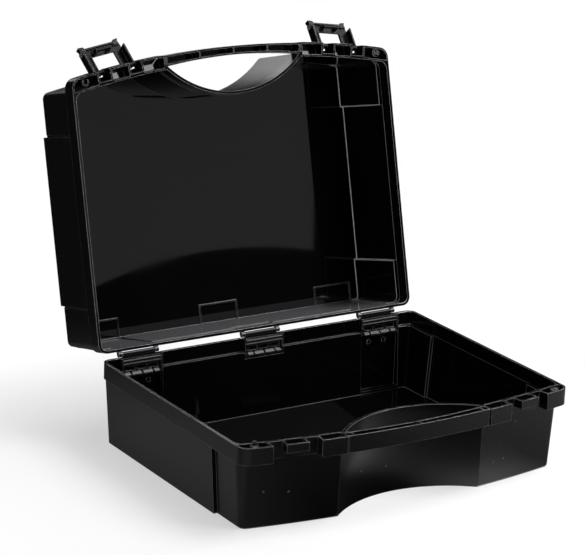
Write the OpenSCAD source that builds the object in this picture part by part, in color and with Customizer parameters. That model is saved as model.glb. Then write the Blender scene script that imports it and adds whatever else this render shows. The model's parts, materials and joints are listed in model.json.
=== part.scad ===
// Hard case with a bowed front, drawn open. The base stands on z = 0 with
// its front at -Y. The lid is drawn closed on the base and then turned back.

/* [Body] */
// Width across the rims
case_width = 400; // [370:2:440]
// Depth along the sides, rim to rim
case_depth = 292; // [276:2:320]
// How far the middle of the front rim stands out in front of its corners
front_bow = 20.5; // [18:0.5:23]
// Height of the base up to the mating face
base_height = 91; // [86:1:110]
// Height of the lid above the mating face
lid_height = 93; // [86:1:110]
// Thickness of the moulded walls
wall = 3; // [2.6:0.1:3.2]

/* [Rim] */
// Height of the rim band
band_height = 18; // [17:0.5:20]
// How far the front rim stands off the front wall
flange_depth = 12.5; // [12:0.5:14]
// Radius of the rim's front corners
corner_radius = 12; // [10:0.5:14]

/* [Side panels] */
// Front end of the raised side panel
panel_front = -86; // [-92:1:-80]
// Rear end of the raised side panel
panel_rear = 98; // [92:1:102]

/* [Handle] */
// Radius of the hollow in the front wall behind the handle
recess_radius = 120; // [116:1:124]
// Thickness of the handle bar at its middle
bar_depth = 10.5; // [10:0.5:11.5]

/* [Latches] */
// Distance of each latch from the middle
latch_offset = 142; // [138:1:146]
// Width of a latch
latch_width = 50.4; // [49:0.2:51]
// Angle between a latch in its open place and the same latch shut
latch_open_angle = 123; // [90:1:135]

/* [Hinges] */
// Distance of the outer hinges from the middle
hinge_offset = 153; // [140:1:158]
// Angle of the open lid from shut
lid_open_angle = 104; // [80:1:112]

/* [Hidden] */
$fn = 64;
black = [0.055, 0.055, 0.06];

half_width = case_width / 2;
rear_y = case_depth / 2;
bow_radius = (pow(half_width, 2) + pow(front_bow, 2)) / (2 * front_bow);
bow_y = -rear_y - front_bow + bow_radius;
wall_bow_radius = bow_radius - flange_depth;
skin = 1.8;

side_step = 4;
side_draft = 5;
base_rear = [4, 4];
lid_rear = [0.8, 0.8];
front_draft = 2;
foot_chamfer = 1.6;
foot_width = 56;
foot_start = 3;
band_floor = 2.6;
groove_width = 2.4;
groove_depth = 1.2;
front_groove = panel_front - groove_width;
base_panel_end = rear_y - 11;

gap_reach = 29.5;
recess_y = -rear_y + gap_reach - recess_radius;
base_cone_r = recess_radius + 11.5;
base_recess = [-rear_y + gap_reach - 1 - base_cone_r, base_cone_r + 2, base_cone_r];
lid_recess = [recess_y, recess_radius + 3.4, recess_radius + 1.5];
bar_radius = 625;
bar_y = -rear_y - front_bow + bar_depth + bar_radius;
bar_end = 86.6;
bar_inset = 0.9;
bar_groove = 2.2;
rib = 1.4;
base_ribs = [-79, 0, 79];
lid_ribs = [-84, -43, 0, 43, 84];

notch_inner = 12;
notch_outer = latch_width / 2 + 1.2;
notch_side = skin;
gate_floor_y = 8.4;
gate_floor_x = 13;
tab_height = 9;
pocket_slope = 13;
latch_turn = asin(latch_offset / bow_radius);
latch_y = bow_y - sqrt(pow(bow_radius, 2) - pow(latch_offset, 2));
latch_pivot_in = 3.4;
latch_pivot_up = 14;
latch_leg_in = 13.8;
latch_leg_out = latch_width / 2;
latch_boss_r = 3.1;
latch_stub_r = 2;
latch_stub_bore_r = 2.06;
latch_web = 2;
latch_wall_in = 3;
latch_wall_end = 26;
latch_edge = 1.6;
latch_lip = 1.2;
latch_rod_r = 1.9;
latch_rod_half = 9;
latch_rod_in = 1.4;
latch_bar_top = 24.4;
latch_bar_bottom = 35;
latch_tip = 38;
latch_proud = 5;

pin_x = half_width - 16;
pin_y = -rear_y + 3.9;
pin_r = 1.7;
pin_rise = 5;
pin_boss_r = 4.1;
socket_r = 2.6;

hinge_y = rear_y + 3.3;
hinge_z = base_height + 1.9;
knuckle_r = 2.4;
knuckle_half = 19.8;
hinge_pin_r = 1.25;
hinge_bore_r = 1.3;
ear_r = 2.9;
ear_in = 20.3;
ear_out = 24.3;
leaf_half = 24.7;
leaf_top = base_height - 0.2;
leaf_bottom = base_height - 19.5;
leaf_ledge = 2.6;
leaf_slot_floor = base_height - 2.6;
channel_y = rear_y - wall;
leaf_front = channel_y - 2.8;
hinge_places = [-hinge_offset, 0, hinge_offset];
foot_places = [-hinge_offset, hinge_offset];
seat_drop = 8;
foot_depth = 16;
seat_depth = 12;
mark_reach = 26;
mark_width = 1.6;
mark_height = 1.2;

// Plan of the case at one level: straight sides and rear, bowed front.
module plan(half, rear, bow, front_r, rear_r) {
    corner_x = half - front_r;
    corner_y = bow_y - sqrt(pow(bow - front_r, 2) - pow(corner_x, 2));
    slope = bow / (bow - front_r);
    touch_x = corner_x * slope;
    touch_y = bow_y + (corner_y - bow_y) * slope;
    difference() {
        intersection() {
            translate([0, bow_y]) circle(r = bow, $fn = 720);
            translate([-half, -rear_y * 2]) square([half * 2, rear_y * 2 + rear]);
        }
        for (side = [-1, 1]) {
            difference() {
                polygon([[side * corner_x, corner_y],
                    [side * touch_x, touch_y],
                    [side * (touch_x + 1), touch_y - 9],
                    [side * (half + 9), corner_y - 9],
                    [side * (half + 9), corner_y]]);
                translate([side * corner_x, corner_y]) circle(r = front_r);
            }
            difference() {
                translate([side * (half + 4 - rear_r / 2), rear + 4 - rear_r / 2])
                    square([8 + rear_r, 8 + rear_r], center = true);
                translate([side * (half - rear_r), rear - rear_r]) circle(r = rear_r);
            }
        }
    }
}

// Outer faces below the rim, narrowing towards the floor. The pair in rear
// is the rear wall's inset under the band and its draft below that.
module outer_body(h, rear) {
    top = h - band_height;
    hull() {
        translate([0, 0, top]) linear_extrude(1)
            plan(half_width - side_step, rear_y - rear[0], wall_bow_radius, 10, 9, $fn = 32);
        translate([0, 0, foot_chamfer]) linear_extrude(0.1)
            plan(half_width - side_step - side_draft, rear_y - rear[0] - rear[1],
                wall_bow_radius - front_draft, 8, 7, $fn = 32);
        linear_extrude(0.1)
            plan(half_width - side_step - side_draft - foot_chamfer,
                rear_y - rear[0] - rear[1] - foot_chamfer,
                wall_bow_radius - front_draft - foot_chamfer, 7, 6, $fn = 32);
    }
}

module inner_body(h, rear) {
    top = h - band_height + band_floor;
    hull() {
        translate([0, 0, top]) linear_extrude(0.5)
            plan(half_width - side_step - wall, rear_y - rear[0] - wall,
                wall_bow_radius - wall, 7, 6, $fn = 32);
        translate([0, 0, wall]) linear_extrude(0.1)
            plan(half_width - side_step - side_draft - wall,
                rear_y - rear[0] - rear[1] - wall,
                wall_bow_radius - front_draft - wall, 5, 4, $fn = 32);
    }
}

// Long raised panel on each side, flush with the rim band.
module side_panels(h, inset, first, last, floor_z, top_z) {
    low = half_width - side_draft - 0.6 - inset;
    high = half_width - 0.3 - inset;
    for (side = [-1, 1])
        translate([0, last, 0]) rotate([90, 0, 0]) linear_extrude(last - first)
            polygon([[side * (low - 12), floor_z], [side * low, floor_z],
                [side * high, top_z], [side * (low - 12), top_z]]);
}

module side_grooves(h, starts) {
    low = half_width - side_step - side_draft - groove_depth;
    high = half_width - side_step - groove_depth;
    top = h - band_height;
    for (side = [-1, 1], first = starts)
        translate([0, first + groove_width, 0]) rotate([90, 0, 0])
            linear_extrude(groove_width)
                polygon([[side * low, -1], [side * (half_width + 5), -1],
                    [side * (half_width + 5), top], [side * high, top]]);
}

// Upright feet down the rear wall that the closed case can stand on, and
// the short hinge seat between them.
module rear_feet(h) {
    band_z = h - band_height;
    for (x = foot_places)
        translate([x - foot_width / 2, rear_y - foot_depth, foot_start])
            cube([foot_width, foot_depth, band_z - foot_start + 1]);
    translate([-foot_width / 2, rear_y - seat_depth, band_z - seat_drop])
        cube([foot_width, seat_depth, seat_drop + 1]);
}

module rear_channels(h) {
    band_z = h - band_height;
    inside = foot_width - wall * 2;
    for (x = foot_places)
        translate([x - inside / 2, rear_y - foot_depth - 4, foot_start + wall])
            cube([inside, foot_depth + 4 - wall, h]);
    translate([-inside / 2, rear_y - seat_depth, band_z - seat_drop + wall])
        cube([inside, seat_depth - wall, seat_drop]);
}

// Gap between the handle bar and the hollow front wall.
module finger_gap() {
    intersection() {
        translate([0, recess_y]) circle(r = recess_radius, $fn = 240);
        translate([0, bar_y]) circle(r = bar_radius, $fn = 720);
    }
}

// Hollow in the front wall: centre line, radius at the floor and radius
// under the rim band. Above that it meets the wall of the finger gap.
module recess(h, cone, grow) {
    band_z = h - band_height;
    translate([0, cone[0], -0.01])
        cylinder(r1 = cone[1] + grow, r2 = cone[2] + grow, h = band_z + 0.02, $fn = 240);
}

// The open channel inside the front rim and the handle bar.
module rim_channel(ribs) {
    difference() {
        intersection() {
            plan(half_width - skin, rear_y, bow_radius - skin, corner_radius - skin, 8);
            translate([-half_width, -rear_y * 1.5]) square([case_width, rear_y]);
        }
        difference() {
            translate([0, bow_y]) circle(r = wall_bow_radius - wall + skin, $fn = 720);
            translate([-bar_end, -rear_y * 2]) square([bar_end * 2, rear_y * 2]);
        }
        intersection() {
            translate([0, bar_y]) circle(r = bar_radius + skin, $fn = 720);
            translate([-bar_end, -rear_y * 2]) square([bar_end * 2, rear_y * 2]);
        }
        intersection() {
            difference() {
                circle(r = case_width);
                translate([0, bow_y]) circle(r = bow_radius - skin - bar_inset, $fn = 720);
            }
            translate([-bar_end, -rear_y * 2]) square([bar_end * 2, rear_y * 2]);
        }
        for (x = ribs)
            translate([x - rib / 2, -rear_y * 1.5]) square([rib, rear_y]);
        for (side = [-1, 1]) {
            translate([side * bar_end - skin / 2, -rear_y * 1.5]) square([skin, rear_y]);
            at_latch(side)
                translate([-notch_outer - notch_side, -5])
                    square([(notch_outer + notch_side) * 2, flange_depth + 12]);
            translate([side * pin_x, pin_y]) circle(r = pin_boss_r);
        }
    }
}

// Places children on the bowed front, x along the rim and y inwards.
module at_latch(side) {
    translate([side * latch_offset, latch_y]) rotate(side * latch_turn) children();
}

// Notches for the legs of a latch and the hollow between them. The base's
// notches run right through the band. The lid's are open at the far side only
// where the folded legs pass.
module latch_gates(h, through) {
    leg_gap = notch_outer - notch_inner;
    band_z = h - band_height;
    open_x = through ? notch_inner : gate_floor_x;
    open_y = through ? flange_depth : gate_floor_y;
    for (side = [-1, 1]) at_latch(side) {
        for (leg = [0, 1]) mirror([leg, 0, 0]) {
            translate([open_x, -6, band_z - 2])
                cube([notch_outer - open_x, 6 + open_y, band_height + 4]);
            translate([notch_inner, -6, band_z + band_floor])
                cube([leg_gap, 6 + flange_depth, band_height]);
        }
        if (through)
            translate([-notch_outer, -6, band_z - 2])
                cube([notch_outer * 2, 6 + flange_depth, band_height + 2 - tab_height]);
        tab_floor = through ? h - tab_height + skin : band_z + band_floor;
        translate([-notch_inner + skin, skin, tab_floor])
            cube([(notch_inner - skin) * 2, flange_depth + wall - skin * 2, band_height]);
    }
}

// Sloped floors in the lid's rim, one in the hollow between the legs of
// each latch and one between the latch and the end of the handle bar.
module rim_ramps(h) {
    floor_z = h - band_height + band_floor;
    first_y = skin + 0.3;
    last_y = flange_depth + wall - skin / 2;
    rise = (last_y - first_y) * tan(pocket_slope);
    bar_side = latch_offset - bar_end;
    for (side = [-1, 1], span = [[-notch_inner + 1, notch_inner - 1],
            [notch_outer + notch_side - 0.5, bar_side - 1]]) at_latch(side)
        translate([side > 0 ? -span[1] : span[0], 0, 0]) rotate([90, 0, 90])
            linear_extrude(span[1] - span[0])
                polygon([[first_y, floor_z - 1], [last_y, floor_z - 1],
                    [last_y, floor_z + rise], [first_y, floor_z]]);
}

// Space behind the rim band, open over the whole tray.
module rim_hollow(h) {
    translate([0, 0, h - band_height + band_floor]) linear_extrude(band_height)
        plan(half_width - wall, channel_y, wall_bow_radius - wall, corner_radius - wall, 7);
}

// The base's panels run on to its rear corners, the lid's end at a groove.
module tray(h, rear, cone, ribs, panel_end, grooves, through) {
    band_z = h - band_height;
    difference() {
        union() {
            difference() {
                union() {
                    outer_body(h, rear);
                    difference() {
                        side_panels(h, 0, panel_front, panel_end, 0.8, band_z + 1);
                        side_grooves(h, grooves);
                    }
                    rear_feet(h);
                }
                side_grooves(h, grooves);
                recess(h, cone, 0);
            }
            translate([0, 0, band_z]) linear_extrude(band_height)
                plan(half_width, rear_y, bow_radius, corner_radius, 10);
        }
        difference() {
            union() {
                inner_body(h, rear);
                side_panels(h, wall, panel_front + wall, panel_rear - wall, wall, band_z + band_floor + 0.2);
                rear_channels(h);
                rim_hollow(h);
            }
            recess(h, cone, wall);
            translate([0, recess_y, band_z])
                cylinder(r = recess_radius + wall, h = band_height, $fn = 240);
        }
        translate([0, 0, band_z - 1]) linear_extrude(band_height + 2) finger_gap();
        translate([0, 0, band_z + band_floor]) linear_extrude(band_height) rim_channel(ribs);
        latch_gates(h, through);
        bar_faces(h);
    }
}

// The bar stands slightly behind the rim band, with a groove at each end.
module bar_faces(h) {
    translate([0, 0, h - band_height - 1]) linear_extrude(band_height + 2)
        difference() {
            translate([-bar_end, -rear_y * 2]) square([bar_end * 2, rear_y]);
            translate([0, bow_y]) circle(r = bow_radius - bar_inset, $fn = 720);
        }
    for (side = [-1, 1])
        translate([side * bar_end - bar_groove / 2, -rear_y * 2, h - band_height - 1])
            cube([bar_groove, rear_y - front_bow + 6.9, band_height + 2]);
}

module place_lid() {
    translate([0, hinge_y, hinge_z]) rotate([-lid_open_angle, 0, 0])
        translate([0, -hinge_y, -hinge_z]) children();
}

module base_shell() {
    color(black) difference() {
        union() {
            tray(base_height, base_rear, base_recess, base_ribs, base_panel_end,
                [front_groove], true);
            translate([-pin_x, pin_y, base_height - 1]) cylinder(r = pin_r, h = pin_rise + 1);
            for (x = hinge_places)
                translate([x - foot_width / 2 + wall - 0.5, channel_y - 3.4, leaf_bottom - leaf_ledge])
                    cube([foot_width - wall * 2 + 1, 3.9, leaf_ledge]);
        }
        for (x = hinge_places)
            translate([x - leaf_half - 0.2, rear_y - 12, leaf_slot_floor])
                cube([(leaf_half + 0.2) * 2, 14, 4]);
        translate([pin_x, pin_y, base_height - 8]) cylinder(r = socket_r, h = 10);
    }
}

// Bores in the side walls of the notches for the stubs of the latches.
module latch_bores() {
    first = notch_inner - skin - 0.2;
    last = notch_outer + notch_side + 0.2;
    for (side = [-1, 1], leg = [0, 1]) at_latch(side) mirror([leg, 0, 0])
        translate([first, latch_pivot_in, latch_pivot_up]) rotate([0, 90, 0])
            cylinder(r = latch_stub_bore_r, h = last - first);
}

// Low ridge on the lid's floor round the place in front of one hinge.
module floor_mark(x) {
    floor_z = base_height + lid_height - wall;
    length = mark_reach - wall - 1;
    translate([x, rear_y - mark_reach, floor_z - mark_height]) {
        translate([-leaf_half, 0, 0]) cube([leaf_half * 2, mark_width, mark_height + 0.5]);
        for (side = [-1, 1])
            translate([side * (leaf_half - mark_width / 2) - mark_width / 2, 0, 0])
                cube([mark_width, length, mark_height + 0.5]);
    }
}

module lid_shell() {
    color(black) place_lid() difference() {
        union() {
            translate([0, 0, base_height + lid_height]) mirror([0, 0, 1]) {
                tray(lid_height, lid_rear, lid_recess, lid_ribs, panel_rear,
                    [front_groove, panel_rear], false);
                rim_ramps(lid_height);
            }
            for (x = hinge_places) floor_mark(x);
            translate([pin_x, pin_y, base_height - pin_rise])
                cylinder(r = pin_r, h = pin_rise + 1);
            for (x = hinge_places, side = [-1, 1])
                translate([x + side * (ear_in + ear_out) / 2 - (ear_out - ear_in) / 2, 0, 0]) {
                    translate([0, hinge_y, hinge_z]) rotate([0, 90, 0])
                        cylinder(r = ear_r, h = ear_out - ear_in);
                    translate([0, rear_y - 2, base_height + 0.3])
                        cube([ear_out - ear_in, hinge_y - rear_y + 2, hinge_z + ear_r - base_height - 0.3]);
                }
        }
        translate([0, 0, base_height]) latch_bores();
        translate([-pin_x, pin_y, base_height - 2]) cylinder(r = socket_r, h = 10);
        translate([-pin_x - socket_r, pin_y - 4.5, base_height - 2])
            cube([socket_r * 2, 4.5, 10]);
        for (x = hinge_places)
            translate([x - ear_out - 1, hinge_y, hinge_z]) rotate([0, 90, 0])
                cylinder(r = hinge_pin_r, h = ear_out * 2 + 2);
    }
}

// One latch as it lies shut, seen from its own pivot line.
module latch_frame() {
    face = -latch_pivot_in - latch_proud;
    for (leg = [0, 1]) mirror([leg, 0, 0]) {
        latch_leg(face);
        tip_ear(face);
    }
    cross_bar(face);
    finger_lip(face);
}

// Right leg: a web with a deep outer wall and a low inner lip, and the boss
// with the stubs that turn in the lid.
module latch_leg(face) {
    leg_w = latch_leg_out - latch_leg_in;
    stub_first = notch_inner - 1.5;
    stub_last = notch_outer + 1.5;
    translate([latch_leg_in, face, -latch_bar_top - 1])
        cube([leg_w, latch_web, latch_bar_top + 1]);
    translate([latch_leg_out - latch_edge, face, -latch_wall_end])
        cube([latch_edge, latch_wall_in - face, latch_wall_end]);
    translate([latch_leg_in, face, -latch_bar_top])
        cube([latch_lip, latch_web + 1.6, latch_bar_top]);
    translate([latch_leg_in, 0, 0]) rotate([0, 90, 0]) cylinder(r = latch_boss_r, h = leg_w);
    translate([latch_leg_in, face, -latch_edge]) cube([leg_w, -face, latch_edge]);
    translate([stub_first, 0, 0]) rotate([0, 90, 0])
        cylinder(r = latch_stub_r, h = stub_last - stub_first);
}

// Bar between the legs: a web with a rib along its end and a round hook rod
// on two ribs near the window.
module cross_bar(face) {
    bar_rib = 5;
    corner = 4;
    rod_t = latch_bar_top + 2;
    web_half = 0.8;
    translate([0, face, 0]) rotate([-90, 0, 0]) linear_extrude(latch_web)
        polygon([[-latch_leg_out, latch_bar_top], [latch_leg_out, latch_bar_top],
            [latch_leg_out, latch_bar_bottom - corner], [latch_leg_out - corner, latch_bar_bottom],
            [-latch_leg_out + corner, latch_bar_bottom], [-latch_leg_out, latch_bar_bottom - corner]]);
    translate([-latch_leg_out + corner, face, -latch_bar_bottom])
        cube([latch_width - corner * 2, bar_rib, latch_edge]);
    translate([-latch_rod_half, latch_rod_in, -rod_t]) rotate([0, 90, 0])
        cylinder(r = latch_rod_r, h = latch_rod_half * 2);
    for (side = [-1, 1])
        translate([side * (latch_rod_half - web_half) - web_half, 0, 0])
            rotate([90, 0, 90]) linear_extrude(web_half * 2)
                polygon([[face, -latch_bar_top], [latch_rod_in, -rod_t + 1],
                    [latch_rod_in, -rod_t - 1.2], [face, -latch_bar_bottom + 1]]);
}

// Turned-out lip along the middle of the tip.
module finger_lip(face) {
    translate([-15, 0, 0]) rotate([90, 0, 90]) linear_extrude(30)
        polygon([[face, -latch_bar_bottom + 2], [face + 2, -latch_bar_bottom + 0.5],
            [face + 0.6, -latch_tip + 1.6], [face - 1.8, -latch_tip + 1.2],
            [face - 1.2, -latch_bar_bottom]]);
}

// Thick ear at the right end of the bar, flared at its tip.
module tip_ear(face) {
    ear_depth = 6.5;
    translate([0, face + ear_depth - 2, 0]) rotate([90, 0, 0]) linear_extrude(ear_depth)
        polygon([[17.4, -latch_bar_bottom + 4], [23.6, -latch_bar_bottom + 4],
            [22.8, -latch_bar_bottom + 0.6], [24.4, -latch_tip], [18.4, -latch_tip + 0.6],
            [16.8, -latch_bar_bottom + 1]]);
}

module latch(side) {
    color(black) place_lid() at_latch(side)
        translate([0, latch_pivot_in, base_height + latch_pivot_up])
            rotate([-latch_open_angle, 0, 0]) latch_frame();
}

module latch_left() {
    latch(-1);
}

module latch_right() {
    latch(1);
}

// Leaf in the rear wall of the base with the knuckle that the pin runs in.
module hinge_leaf(x) {
    color(black) translate([x, 0, 0]) difference() {
        union() {
            difference() {
                translate([-leaf_half, leaf_front, leaf_bottom])
                    cube([leaf_half * 2, channel_y - leaf_front, leaf_top - leaf_bottom]);
                for (window = [-1, 0, 1])
                    translate([window * 14 - 6, leaf_front - 1, leaf_bottom + 5])
                        cube([12, 2.8, 5]);
            }
            translate([-leaf_half, leaf_front, leaf_slot_floor + 0.2])
                cube([leaf_half * 2, rear_y - leaf_front, leaf_top - leaf_slot_floor - 0.2]);
            translate([-knuckle_half, rear_y - 1, leaf_slot_floor + 0.2])
                cube([knuckle_half * 2, hinge_y - rear_y + 1, leaf_top - leaf_slot_floor - 0.2]);
            translate([-knuckle_half, hinge_y, hinge_z]) rotate([0, 90, 0])
                cylinder(r = knuckle_r, h = knuckle_half * 2);
            for (roll = [3.2, 6.9])
                translate([-leaf_half, leaf_front, leaf_top - roll]) rotate([0, 90, 0])
                    cylinder(r = 1.5, h = leaf_half * 2);
            for (edge = [-1, 1])
                translate([edge * (leaf_half - 0.8) - 0.8, leaf_front - 1.6, leaf_bottom])
                    cube([1.6, 2, leaf_top - leaf_bottom]);
            for (block = [[-20.6, 6], [-12.2, 11], [1.2, 11], [14.6, 6]])
                translate([block[0], 0, 0]) rotate([90, 0, 90]) linear_extrude(block[1])
                    polygon([[leaf_front + 1, leaf_bottom], [leaf_front - 3, leaf_bottom],
                        [leaf_front - 3, leaf_bottom + 1.2], [leaf_front + 1, leaf_bottom + 4.2]]);
        }
        translate([-knuckle_half - 1, hinge_y, hinge_z]) rotate([0, 90, 0])
            cylinder(r = hinge_bore_r, h = knuckle_half * 2 + 2);
    }
}

module hinge_leaf_left() {
    hinge_leaf(hinge_places[0]);
}

module hinge_leaf_middle() {
    hinge_leaf(hinge_places[1]);
}

module hinge_leaf_right() {
    hinge_leaf(hinge_places[2]);
}

module hinge_pin(x) {
    color([0.12, 0.12, 0.13]) translate([x - ear_out, hinge_y, hinge_z]) rotate([0, 90, 0])
        cylinder(r = hinge_pin_r, h = ear_out * 2);
}

module hinge_pin_left() {
    hinge_pin(hinge_places[0]);
}

module hinge_pin_middle() {
    hinge_pin(hinge_places[1]);
}

module hinge_pin_right() {
    hinge_pin(hinge_places[2]);
}

base_shell();
lid_shell();
latch_left();
latch_right();
hinge_leaf_left();
hinge_leaf_middle();
hinge_leaf_right();
hinge_pin_left();
hinge_pin_middle();
hinge_pin_right();
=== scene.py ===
# A black moulded case standing open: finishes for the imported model, the small moulded marks that
# stand on it, a pale floor, soft light and the camera of the photograph.
import json
import math

import bpy
from mathutils import Matrix, Vector


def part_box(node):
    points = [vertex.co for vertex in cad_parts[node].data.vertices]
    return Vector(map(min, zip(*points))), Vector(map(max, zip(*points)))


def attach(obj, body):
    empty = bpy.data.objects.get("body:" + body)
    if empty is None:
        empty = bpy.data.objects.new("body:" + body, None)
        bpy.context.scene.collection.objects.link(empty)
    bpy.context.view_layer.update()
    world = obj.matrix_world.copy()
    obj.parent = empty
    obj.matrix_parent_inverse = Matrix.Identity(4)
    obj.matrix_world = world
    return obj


MM = 0.001

# Camera fitted to the photograph
CAMERA_PLACE = Vector((-1.4435, -2.1605, 1.0064))
CAMERA_YAW = math.radians(32.72)
CAMERA_PITCH = math.radians(17.326)
CAMERA_ROLL = math.radians(2.147)
FOCAL_PIXELS = 2608.7
PHOTO_WIDTH = 586
SENSOR = 36.0
CLIP_END = 50

# Plan of the case in millimetres: the height where base and lid meet, the bow's centre with the
# radius of the front wall's inner face, and the same of the wall round the finger gap
MATING_HEIGHT = 91
BOW_CENTRE, FRONT_WALL_RADIUS = 819.4, 970.4
GAP_CENTRE, GAP_WALL_RADIUS = -236.5, 123.4

# Middle of each tray, which tells its inner faces from its outer ones: a share of the base's
# height, and a point of the closed lid in millimetres
BASE_MIDDLE = 0.62
LID_MIDDLE = (0, -8, 128)

# Ranges in metres over which a zone of a shell fades in or out
INSIDE_FADE = (-0.004, 0.004)
SIDE_WALL_START = (0.176, 0.182)
SIDE_WALL_END = (0.1955, 0.197)
BRIM_START = (-0.002, -0.0015)
CHANNEL_START = (-0.0003, 0.0003)

# Cosines over which a face passes from turned elsewhere to turned a given way
ROUGHLY = (0.6, 0.8)
NEARLY = (0.96, 0.98)
SQUARELY = (0.985, 0.995)

# Cosines between the softened and the true normal, from an edge to a flat face
EDGE_RANGE = (0.8, 0.985)

# Plastic: noise scales, grain depth and fillet radius in millimetres, roughness, shine and greys;
# the weaker shine of the channel floors is painted shade, and the brim's grey is a painted
# highlight
CLOUD_SCALE = 14.0
CLOUD_ROUGHNESS = 0.06
GRAIN_SCALE = 1800.0
GRAIN_DEPTH = 0.03
FILLET = 2.2
FILLET_ROUGHNESS = 0.22
POLISHED = 0.03
# The weaker shine of the channel floors below is painted shade
CHANNEL_SHEEN = 0.12
BRIM_HIGHLIGHT = 0.95
DEEP_GREYS = (0.0012, 0.0024)
COOL = 1.06

# Steel of the hinge pins
DRAWN_SCALE = 900.0
STEEL_GREYS = (0.22, 0.4)
STEEL_ROUGHNESS = 0.3
STEEL_LINES = 0.15
STEEL_EDGE = 0.2

# Places of a Mix node's two values and of its result, for each kind of data
MIX_PLACES = {"RGBA": (6, 7, 2), "VECTOR": (4, 5, 1)}

# Marks on the base in millimetres: the name, the radius and height of the discs, the y from
# which straight lines run back to meet the shell, and the x and z of each line
MARKS = (
    ("base_front_specks", 0.9, 0.9, -300, (
        (-169.5, 38.8), (-143, 35.5), (-44, 33), (-9, 30), (105.6, 24.8), (119.6, 25.5),
        (133, 64.4),
    )),
    ("base_ejector_marks", 2.8, 0.7, 0, ((-143.5, 62), (141, 62), (161, 62))),
)
MARK_SIDES = 24

# Floor: its half width, the greys of the paper as it is seen and as it lights the case, and its
# shadow, which fades with the distance from the case's footprint
FLOOR_REACH = 12.0
PAPER = (1, 1, 1, 1)
PAPER_SCALE = 60.0
PAPER_SEEN = (0.9, 0.94)
PAPER_BOUNCE = (0.5, 0.56)
FOOTPRINT = (0.19, 0.15, 0)
SHADOW_FADE = (0.02, 0.26)
SHADOW_LEAST = 0.5

# Brightness of the floor in mirror reflections: all over, and in patches that fade in and out
# across the case and along it
FLOOR_MIRRORED = 0.02
PATCHES = {
    "right of the case": {"glow": 0.6, "from_x": (0.0, 0.6), "to_y": (0.1, 0.9)},
    "left of the case": {
        "glow": 0.24, "from_x": (-0.7, -0.25), "to_x": (-0.25, -0.1), "to_y": (0.15, 0.5),
    },
    "before the case": {"glow": 0.08, "to_y": (-0.35, -0.18)},
    "in the front recess": {
        "glow": 0.9, "from_x": (0.02, 0.08), "to_x": (0.12, 0.2),
        "from_y": (-0.23, -0.16), "to_y": (-0.13, -0.11),
    },
}

# The reflector before the case: its plane, sides and top, the crest and the fall of its arched
# lower edge, and its brightness
CARD_PLACE = -1.5
CARD_LEFT, CARD_RIGHT = 0.45, 1.222
CARD_TOP, CARD_TOP_RIGHT = 1.3, 1.472
CREST, CREST_HEIGHT, CREST_FALL = 0.998, 0.424, 0.55
CARD_STEPS = 24
CARD_GLOW = 0.37

# Room light at the horizon and overhead
ROOM_GLOW = 0.015
CEILING_GLOW = 0.7

# Lamps: name, place, target, width and height, brightness
LAMPS = (
    ("overhead_box", (0.95, -0.35, 1.75), (0, 0, 0.1), (0.9, 1.1), 9),
    ("left_strip", (-1.75, -1.0, 0.55), (0, 0, 0.2), (0.6, 1.0), 6),
    ("side_box", (1.9, -0.2, 0.9), (0, 0, 0.15), (0.3, 1.0), 7),
    ("front_right_box", (1.15, -1.25, 1.45), (0, 0.2, 0.4), (0.95, 0.95), 6),
    ("back_box", (0.25, 2.0, 1.0), (0, 0.1, 0.3), (0.9, 0.5), 2.2),
)

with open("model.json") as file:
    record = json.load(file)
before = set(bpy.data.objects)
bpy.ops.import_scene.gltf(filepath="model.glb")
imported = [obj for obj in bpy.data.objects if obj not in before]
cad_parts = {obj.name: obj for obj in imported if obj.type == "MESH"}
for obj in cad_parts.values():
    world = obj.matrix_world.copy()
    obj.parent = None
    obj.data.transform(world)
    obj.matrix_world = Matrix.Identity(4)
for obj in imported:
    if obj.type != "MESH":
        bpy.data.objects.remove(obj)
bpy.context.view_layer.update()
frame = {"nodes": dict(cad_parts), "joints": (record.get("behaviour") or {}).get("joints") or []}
nodes = frame["nodes"]
lid_hinge = next(joint for joint in frame["joints"] if joint["name"] == "lid_hinge")


def make_camera():
    forward = Vector((
        math.sin(CAMERA_YAW) * math.cos(CAMERA_PITCH),
        math.cos(CAMERA_YAW) * math.cos(CAMERA_PITCH),
        -math.sin(CAMERA_PITCH),
    ))
    level = Vector((math.cos(CAMERA_YAW), -math.sin(CAMERA_YAW), 0))
    upright = level.cross(forward)
    right = level * math.cos(CAMERA_ROLL) + upright * math.sin(CAMERA_ROLL)
    up = upright * math.cos(CAMERA_ROLL) - level * math.sin(CAMERA_ROLL)
    data = bpy.data.cameras.new("camera")
    data.sensor_width = SENSOR
    data.sensor_fit = "HORIZONTAL"
    data.lens = FOCAL_PIXELS / PHOTO_WIDTH * SENSOR
    data.clip_end = CLIP_END
    camera = bpy.data.objects.new("camera", data)
    turn = Matrix((right, up, -forward)).transposed().to_4x4()
    camera.matrix_world = Matrix.Translation(CAMERA_PLACE) @ turn
    bpy.context.scene.collection.objects.link(camera)
    bpy.context.scene.camera = camera


# Shader tools

class Wire:
    """A number socket with the arithmetic that the patterns below use."""

    def __init__(self, paint, socket):
        self.paint = paint
        self.socket = socket

    def __add__(self, other):
        return self.paint.maths("ADD", self, other)

    def __sub__(self, other):
        return self.paint.maths("SUBTRACT", self, other)

    def __rsub__(self, other):
        return self.paint.maths("SUBTRACT", other, self)

    def __mul__(self, other):
        return self.paint.maths("MULTIPLY", self, other)

    def larger(self, other):
        return self.paint.maths("MAXIMUM", self, other)

    def spread(self, low, high):
        """0 at low and 1 at high, straight between them."""
        return Wire(self.paint, self.paint.node("MapRange", None, (self, low, high, 0.0, 1.0)))


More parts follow.
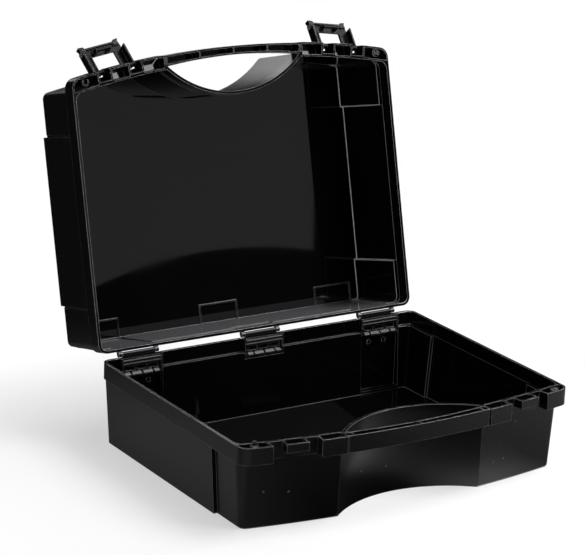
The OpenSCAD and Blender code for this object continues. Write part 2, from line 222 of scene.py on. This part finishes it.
class Graph:
    """A node tree. Sockets are given by place or by name."""

    def __init__(self, tree):
        self.tree = tree
        self.tree.nodes.clear()

    def node(self, kind, settings=None, values=(), out=0):
        """Add a node and return one of its outputs, or the node where it has none."""
        made = self.tree.nodes.new(kind if "Node" in kind else "ShaderNode" + kind)
        for name, value in (settings or {}).items():
            setattr(made, name, value)
        pairs = values.items() if isinstance(values, dict) else enumerate(values)
        for place, value in pairs:
            self.feed(made.inputs[place], value)
        return made.outputs[out] if made.outputs else made

    def feed(self, socket, value):
        if isinstance(value, Wire):
            value = value.socket
        if isinstance(value, bpy.types.NodeSocket):
            self.tree.links.new(value, socket)
        else:
            socket.default_value = value


class Paint(Graph):
    """One material's nodes."""

    def __init__(self, name):
        self.material = bpy.data.materials.new(name)
        self.material.use_nodes = True
        super().__init__(self.material.node_tree)

    def finish(self, shader):
        self.node("OutputMaterial", None, {"Surface": shader})
        return self.material

    def place(self):
        return self.node("TexCoord", out="Object")

    def along(self, axis):
        """The place along X, Y or Z."""
        return Wire(self, self.node("SeparateXYZ", None, (self.place(),), out=axis))

    def maths(self, operation, *values):
        return Wire(self, self.node("Math", {"operation": operation}, values))

    def vector(self, operation, *values):
        return self.node("VectorMath", {"operation": operation}, values)

    def measure(self, operation, *values):
        """A sum on vectors that gives a number."""
        return Wire(self, self.node("VectorMath", {"operation": operation}, values, out="Value"))

    def noise(self, scale, detail=2.0, roughness=0.5):
        values = {"Vector": self.place(), "Scale": scale, "Detail": detail, "Roughness": roughness}
        return Wire(self, self.node("TexNoise", None, values))

    def mixed(self, share, first, second, kind="RGBA"):
        first_place, second_place, out = MIX_PLACES[kind]
        values = {0: share, first_place: first, second_place: second}
        return self.node("Mix", {"data_type": kind}, values, out)

    def rounded(self, radius, samples):
        """The normal, softened along the edges over a radius in millimetres."""
        return self.node("Bevel", {"samples": samples}, (radius * MM,))

    def edges(self, soft):
        """1 along the edges that the softened normal rounds, 0 on flat faces."""
        flat = self.node("NewGeometry", out="True Normal")
        return 1 - self.measure("DOT_PRODUCT", soft, flat).spread(*EDGE_RANGE)

    def facing(self, way, cosines):
        """1 on the faces that look the given way."""
        looks = self.node("TexCoord", out="Normal")
        return self.measure("DOT_PRODUCT", looks, way).spread(*cosines)


def neutral(value):
    return (value, value, value, 1)


def grey(value):
    """A grey that leans towards blue, as the plastic does."""
    return (value, value, value * COOL, 1)


# Finishes of the case

def inside_share(paint, middle):
    """1 on the faces that look into a tray and 0 on those that look out of it."""
    from_middle = paint.vector("SUBTRACT", paint.place(), middle)
    looks = paint.node("TexCoord", out="Normal")
    return 1 - paint.measure("DOT_PRODUCT", from_middle, looks).spread(*INSIDE_FADE)


def channel_share(paint, bow, gap):
    """1 in the hollow rim along the front and round the finger gap, 0 in the tray."""
    shares = []
    for (centre, radius, axis), side in ((bow, 1), (gap, -1)):
        reach = paint.vector("SUBTRACT", paint.place(), centre)
        upward = paint.vector("PROJECT", reach, axis)
        level = paint.vector("SUBTRACT", reach, upward)
        past_wall = paint.measure("LENGTH", level) - radius
        shares.append((past_wall * side).spread(*CHANNEL_START))
    return shares[0].larger(shares[1])


def shell_zones(paint, shell):
    """Shares that are 1 in each zone of a shell. The side wall is the right one's inside."""
    inside = inside_share(paint, shell["middle"])
    across = paint.along("X")
    above = paint.vector("SUBTRACT", paint.place(), shell["brim"])
    brim = paint.measure("DOT_PRODUCT", above, shell["mouth"]).spread(*BRIM_START)
    channel = channel_share(paint, shell["bow"], shell["gap"])
    return {
        "inside": inside,
        "polished": inside.larger(paint.facing(shell["mouth"], ROUGHLY)),
        "side_wall": across.spread(*SIDE_WALL_START) * (1 - across.spread(*SIDE_WALL_END)) * inside,
        "brim": brim,
        "hinge_wall": paint.facing(shell["hinge_wall"], NEARLY) * inside * (1 - brim),
        "channel_floor": channel * paint.facing(shell["mouth"], SQUARELY),
    }


def moulded(name, shell=None, outer=0.27, edge=0.6, line=0.4, grain=0.12, sheen=0.5,
            edge_highlight=0.35, inner_edge_highlight=0.2, wall_edge_highlight=0.2, hinge_wall_light=0.0):
    """Black moulded plastic with fine grain and softened edges, painted with thin pale lines along
    the edges as painted highlight. A shell is polished inside and on the faces that look out of its
    mouth; its channel floors reflect less as painted shade, and its wall at the hinges is painted
    paler as painted light. outer is the roughness, edge and line are radii in millimetres, each rub
    is the grey of the painted highlight lines in one zone, and haze is how much paler the wall at
    the hinges is painted."""
    paint = Paint(name)
    cloudy = paint.noise(CLOUD_SCALE, 3.0)
    fine = paint.noise(GRAIN_SCALE, 2.0, 0.6)
    rough = cloudy * CLOUD_ROUGHNESS + (outer - CLOUD_ROUGHNESS / 2)
    soft = paint.rounded(edge, 4)
    # Painted highlight: thin lines along the edges where the base colour is painted a pale grey
    lines = paint.edges(paint.rounded(line, 6))
    deep = paint.mixed(cloudy, *map(grey, DEEP_GREYS))
    pale = grey(edge_highlight)
    if shell:
        zones = shell_zones(paint, shell)
        side_wall = zones["side_wall"]
        fillet = paint.rounded(FILLET, 6)
        # Painted highlight: bands along the fillets of the right side wall join the pale painted
        # lines
        bands = paint.edges(fillet) * side_wall
        rough = rough - zones["polished"] * (outer - POLISHED) + bands * FILLET_ROUGHNESS
        fine = fine * (1 - zones["polished"])
        soft = paint.mixed(side_wall, soft, fillet, "VECTOR")
        lines = lines.larger(bands)
        # Painted light: the wall at the hinges is painted paler, standing in for the light that
        # falls on it
        deep = paint.mixed(zones["hinge_wall"] * hinge_wall_light, deep, grey(1.0))
        # The painted highlight lines take another grey inside the tray
        pale = paint.mixed(zones["inside"], pale, grey(inner_edge_highlight))
        pale = paint.mixed(side_wall, pale, grey(wall_edge_highlight))
        # Painted highlight: the lines along the brim are painted almost white
        pale = paint.mixed(zones["brim"], pale, grey(BRIM_HIGHLIGHT))
    bump = paint.node("Bump", None, {
        "Strength": grain, "Distance": GRAIN_DEPTH * MM, "Height": fine, "Normal": soft,
    })
    values = {
        "Base Color": paint.mixed(lines, deep, pale), "Roughness": rough, "Normal": bump,
        "Specular IOR Level": sheen,
    }
    plastic = paint.node("BsdfPrincipled", None, values)
    # Painted shade: the floors of the hollow rim reflect less, so they read darker
    if shell:
        shaded_floor = paint.node("BsdfPrincipled", None, values | {"Specular IOR Level": CHANNEL_SHEEN})
        plastic = paint.node("MixShader", None, (zones["channel_floor"], plastic, shaded_floor))
    return paint.finish(plastic)


def steel_rod(name):
    """Dull drawn steel with faint lines."""
    paint = Paint(name)
    lines = paint.noise(DRAWN_SCALE, 3.0, 0.7)
    return paint.finish(paint.node("BsdfPrincipled", None, {
        "Base Color": paint.mixed(lines, *map(grey, STEEL_GREYS)), "Metallic": 1.0,
        "Roughness": lines * STEEL_LINES + STEEL_ROUGHNESS,
        "Normal": paint.rounded(STEEL_EDGE, 4),
    }))


def base_point(x, y, z):
    """A point given in the case's millimetres."""
    return Vector((x, y, z)) * MM


def lid_point(x, y, z):
    """A point given in the closed case's millimetres, where the open lid has it."""
    hinge = Vector(lid_hinge["pos_m"])
    turn = math.radians(lid_hinge["range_deg"][1])
    return Matrix.Rotation(-turn, 3, "X") @ (base_point(x, y, z) - hinge) + hinge


def shell_places(point, middle, mouth_way):
    """Where one shell's tray, mouth, bowed front and finger gap are. The last two are given
    as a centre, a radius and the direction of the axis."""
    up = (point(0, 0, 1) - point(0, 0, 0)).normalized()
    return {
        "middle": middle,
        "mouth": up * mouth_way,
        "brim": point(0, 0, MATING_HEIGHT),
        "hinge_wall": (point(0, 0, 0) - point(0, 1, 0)).normalized(),
        "bow": (point(0, BOW_CENTRE, 0), FRONT_WALL_RADIUS * MM, up),
        "gap": (point(0, GAP_CENTRE, 0), GAP_WALL_RADIUS * MM, up),
    }


def paint_case():
    low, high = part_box("base_shell")
    base = shell_places(base_point, Vector((0, 0, high.z * BASE_MIDDLE)), 1)
    lid = shell_places(lid_point, lid_point(*LID_MIDDLE), -1)
    # Each finish paints pale lines of painted highlight along its edges, in the grey given for them
    finishes = {
        "base_shell": moulded("case_plastic_base", base, inner_edge_highlight=0.12),
        "lid_shell": moulded("case_plastic_lid", lid, inner_edge_highlight=0.3, wall_edge_highlight=1.0, hinge_wall_light=0.12),
        "latch": moulded("latch_plastic", outer=0.36, edge=0.4, line=0.3, sheen=0.16, edge_highlight=0.8),
        "hinge_leaf": moulded(
            "hinge_plastic", outer=0.22, edge=0.3, line=0.25, sheen=0.25, edge_highlight=0.6
        ),
        "hinge_pin": steel_rod("hinge_steel"),
    }
    for name, node in nodes.items():
        finish = next(value for key, value in finishes.items() if name.startswith(key))
        node.data.materials.clear()
        node.data.materials.append(finish)


# Small moulded marks, placed where a straight line first meets the shell

def round_marks():
    """Node group that stands a low disc on every point, turned to the face below it."""
    group = bpy.data.node_groups.new("round_marks", "GeometryNodeTree")
    names = {"Points": "Geometry", "Radius": "Float", "Height": "Float", "Finish": "Material"}
    keys = {
        name: group.interface.new_socket(
            name, in_out="INPUT", socket_type="NodeSocket" + kind
        ).identifier
        for name, kind in names.items()
    }
    group.interface.new_socket("Marks", in_out="OUTPUT", socket_type="NodeSocketGeometry")
    graph = Graph(group)
    given = graph.node("NodeGroupInput").node.outputs
    disc = graph.node("GeometryNodeMeshCylinder", {"fill_type": "NGON"}, {
        "Vertices": MARK_SIDES, "Radius": given["Radius"], "Depth": given["Height"],
    })
    facing = graph.node(
        "GeometryNodeInputNamedAttribute", {"data_type": "FLOAT_VECTOR"}, {"Name": "facing"}
    )
    turned = graph.node("FunctionNodeAlignRotationToVector", {"axis": "Z"}, {"Vector": facing})
    placed = graph.node("GeometryNodeInstanceOnPoints", None, {
        "Points": given["Points"], "Instance": disc, "Rotation": turned,
    })
    real = graph.node("GeometryNodeRealizeInstances", None, (placed,))
    painted = graph.node("GeometryNodeSetMaterial", None, {
        "Geometry": real, "Material": given["Finish"],
    })
    graph.node("NodeGroupOutput", None, (painted,))
    return group, keys


def marks_mesh(feet, values, group, keys):
    """Mesh of the discs. Each foot is a point of the shell and the way its face looks."""
    points = bpy.data.meshes.new("mark_points")
    points.from_pydata([foot for foot, facing in feet], [], [])
    facings = points.attributes.new("facing", "FLOAT_VECTOR", "POINT")
    facings.data.foreach_set("vector", [part for foot, facing in feet for part in facing])
    holder = bpy.data.objects.new("mark_points", points)
    bpy.context.scene.collection.objects.link(holder)
    marks = holder.modifiers.new("marks", "NODES")
    marks.node_group = group
    for name, value in values.items():
        marks[keys[name]] = value
    seen = holder.evaluated_get(bpy.context.evaluated_depsgraph_get())
    mesh = bpy.data.meshes.new_from_object(seen)
    bpy.data.objects.remove(holder)
    return mesh


def make_marks():
    group, keys = round_marks()
    # Painted highlight: the marks' edges are painted in white lines
    finish = moulded("mark_plastic", outer=0.2, edge=0.2, line=0.35, grain=0.05, edge_highlight=1.0)
    shell = nodes["base_shell"]
    for name, radius, height, start, spots in MARKS:
        hits = [shell.ray_cast(base_point(x, start, z), Vector((0, 1, 0))) for x, z in spots]
        values = {"Radius": radius * MM, "Height": height * MM, "Finish": finish}
        mesh = marks_mesh([hit[1:3] for hit in hits], values, group, keys)
        mesh.name = name
        marks = bpy.data.objects.new(name, mesh)
        bpy.context.scene.collection.objects.link(marks)
        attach(marks, "base")


# Floor, backdrop and light

def near_case(paint):
    """Distance from the upright box around the base's footprint."""
    beside = paint.vector("ABSOLUTE", paint.place())
    past = paint.vector("SUBTRACT", beside, FOOTPRINT)
    return paint.measure("LENGTH", paint.vector("MAXIMUM", past, (0, 0, 0)))


def mirrored_glow(paint):
    """Brightness of the floor in mirror reflections."""
    places = {"x": paint.along("X"), "y": paint.along("Y")}
    total = FLOOR_MIRRORED
    for patch in PATCHES.values():
        share = patch["glow"]
        for axis, place in places.items():
            if "from_" + axis in patch:
                share = place.spread(*patch["from_" + axis]) * share
            if "to_" + axis in patch:
                share = (1 - place.spread(*patch["to_" + axis])) * share
        total = share + total
    return total


def floor_finish():
    """White paper with the case's shadow. Reflections see instead a glowing floor with painted
    patches of light that fade in and out.
    """
    paint = Paint("floor_paper")
    paths = paint.node("LightPath").node
    fibres = paint.noise(PAPER_SCALE, 4.0)
    mirrored = paint.node("Emission", None, (PAPER, mirrored_glow(paint)))
    bounced, lit = (
        paint.node("BsdfDiffuse", None, (paint.mixed(fibres, *map(neutral, greys)),))
        for greys in (PAPER_BOUNCE, PAPER_SEEN)
    )
    white = paint.node("Emission", None, (PAPER, 1.0))
    faded = near_case(paint).spread(*SHADOW_FADE) * (1 - SHADOW_LEAST) + SHADOW_LEAST
    seen = paint.node("MixShader", None, (faded, lit, white))
    away = paint.node("MixShader", None, (paths.outputs["Is Glossy Ray"], bounced, mirrored))
    return paint.finish(paint.node("MixShader", None, (paths.outputs["Is Camera Ray"], away, seen)))


def stage_sheet(name, corners, finish):
    mesh = bpy.data.meshes.new(name)
    mesh.from_pydata(corners, [], [tuple(range(len(corners)))])
    mesh.materials.append(finish)
    sheet = bpy.data.objects.new(name, mesh)
    bpy.context.scene.collection.objects.link(sheet)
    return sheet


def make_floor():
    turns = ((-1, -1), (1, -1), (1, 1), (-1, 1))
    corners = [(x * FLOOR_REACH, y * FLOOR_REACH, 0) for x, y in turns]
    stage_sheet("floor", corners, floor_finish())


def make_front_card():
    """The big reflector whose arched lower edge shows in the lid's polished floor."""
    paint = Paint("reflector_cloth")
    finish = paint.finish(paint.node("Emission", None, (grey(1.0), CARD_GLOW)))
    corners = []
    for step in range(CARD_STEPS + 1):
        x = CARD_LEFT + (CARD_RIGHT - CARD_LEFT) * step / CARD_STEPS
        corners.append((x, CARD_PLACE, CREST_HEIGHT - CREST_FALL * (x - CREST) ** 2))
    corners += [(CARD_TOP_RIGHT, CARD_PLACE, CARD_TOP), (CARD_LEFT, CARD_PLACE, CARD_TOP)]
    card = stage_sheet("front_card", corners, finish)
    card.visible_camera = False
    card.visible_shadow = False


def make_world():
    """Dark studio with a paler ceiling. The camera sees white behind the floor."""
    world = bpy.data.worlds.new("studio")
    world.use_nodes = True
    graph = Graph(world.node_tree)
    way = graph.node("TexCoord", out="Generated")
    height = graph.node("SeparateXYZ", None, (way,), out="Z")
    ceiling = graph.node("MapRange", None, (height, 0.5, 1.0, ROOM_GLOW, CEILING_GLOW))
    paths = graph.node("LightPath").node
    room = graph.node("Background", None, {"Strength": ceiling})
    white = graph.node("Background", None, {"Color": (1, 1, 1, 1)})
    seen = graph.node("MixShader", None, (paths.outputs["Is Camera Ray"], room, white))
    graph.node("OutputWorld", None, {"Surface": seen})
    bpy.context.scene.world = world


def soft_box(name, place, target, size, brightness):
    data = bpy.data.lights.new(name, "AREA")
    data.shape = "RECTANGLE"
    data.size, data.size_y = size
    data.energy = brightness * math.pi * size[0] * size[1]
    lamp = bpy.data.objects.new(name, data)
    aim = (Vector(target) - Vector(place)).to_track_quat("-Z", "Y").to_matrix().to_4x4()
    lamp.matrix_world = Matrix.Translation(place) @ aim
    lamp.visible_camera = False
    bpy.context.scene.collection.objects.link(lamp)


make_camera()
paint_case()
make_marks()
make_floor()
make_world()
make_front_card()
for lamp in LAMPS:
    soft_box(*lamp)

bpy.context.scene.view_settings.view_transform = "Standard"
